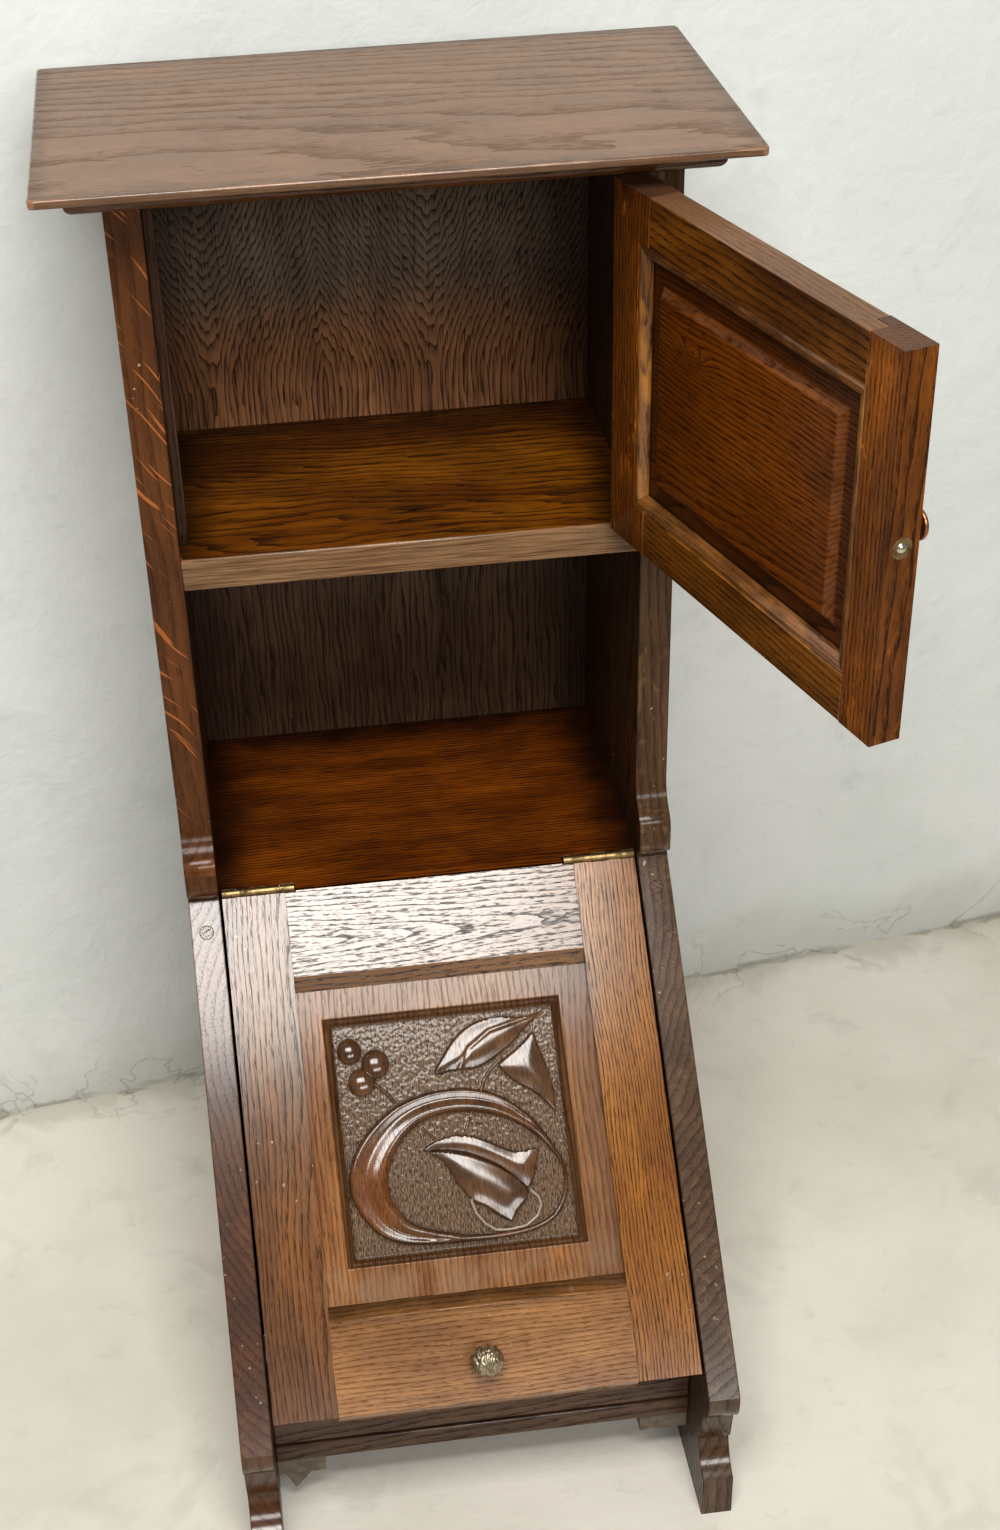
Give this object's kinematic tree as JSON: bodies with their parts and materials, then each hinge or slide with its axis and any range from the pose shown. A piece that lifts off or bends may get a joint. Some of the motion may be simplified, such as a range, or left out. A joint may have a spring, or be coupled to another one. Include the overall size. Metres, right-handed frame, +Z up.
{
  "type": "coal scuttle",
  "caption": "Oak coal cabinet: sloping lift-up lid with a carved panel over the coal box, open shelf, small cupboard above with a panelled door, shaped sides and overhanging top.",
  "frame": {"origin": "on the floor, half way between the sides, under the straight upper front edge of the side boards", "axes": "+X to the right seen from the front, +Y to the back, +Z up; the lid slopes down towards -Y"},
  "size_m": [0.4579, 0.5035, 0.907],
  "materials": {
    "oak": "stained and polished oak, satin to gloss",
    "softwood": "bare softwood",
    "brass": "aged, satin",
    "copper": "reddish, polished",
    "bright_steel": "bright",
    "liner_steel": "matt black"
  },
  "bodies": {
    "cabinet": {"top_board": "oak", "sub_top": "oak", "cornice_front": "oak", "cornice_left": "oak", "cornice_right": "oak", "left_side": "oak", "right_side": "oak", "back_panel": "oak", "mid_shelf": "oak", "deck": "oak", "front_rail": "oak", "bottom_board": "oak", "cleat_left": "softwood", "cleat_right": "softwood", "glue_block": "softwood", "slope_plugs": "oak", "door_stop": "oak", "strike_plate": "brass", "strike_screws": "brass", "door_hinge_fixed": "brass", "door_hinge_pins": "brass", "door_screws_fixed": "brass", "lid_hinge_fixed": "brass", "lid_hinge_pins": "brass", "lid_screws_fixed": "brass", "coal_liner": "liner_steel", "liner_ears": "liner_steel", "liner_rivets": "liner_steel"},
    "door": {"door_stile_hinge": "oak", "door_stile_lock": "oak", "door_rail_top": "oak", "door_rail_bottom": "oak", "door_panel": "oak", "door_bead_top": "oak", "door_bead_bottom": "oak", "door_bead_hinge": "oak", "door_bead_lock": "oak", "door_knob": "copper", "door_knob_screw": "brass", "door_hinge_moving": "brass", "door_screws_moving": "brass", "catch_barrel": "brass", "catch_spring": "bright_steel"},
    "lid": {"lid_stile_left": "oak", "lid_stile_right": "oak", "lid_rail_top": "oak", "lid_rail_bottom": "oak", "lid_panel": "oak", "lid_knob": "brass", "lid_knob_screw": "brass", "lid_hinge_moving": "brass", "lid_screws_moving": "brass"},
    "catch_ball": {"catch_ball": "bright_steel"},
    "bail": {"liner_bail": "liner_steel"}
  },
  "joints": [
    {"name": "door_hinge", "type": "hinge", "parent": "cabinet", "child": "door", "pos_m": [0.14925, -0.0029, 0.77], "axis": [0, 0, 1], "range_deg": [-107.7, 67]},
    {"name": "lid_hinge", "type": "hinge", "parent": "cabinet", "child": "lid", "pos_m": [0, -0.00748, 0.39267], "axis": [-1, 0, 0], "range_deg": [0, 110]},
    {"name": "catch_slide", "type": "slide", "parent": "door", "child": "catch_ball", "axis": [0.3049, -0.9524, 0], "range_m": [-0.0017, 0], "stiffness_N_per_m": 800, "springref_m": 0.001},
    {"name": "bail_swing", "type": "hinge", "parent": "cabinet", "child": "bail", "pos_m": [0, -0.024, 0.292], "axis": [1, 0, 0], "range_deg": [-60, 50]}
  ]
}
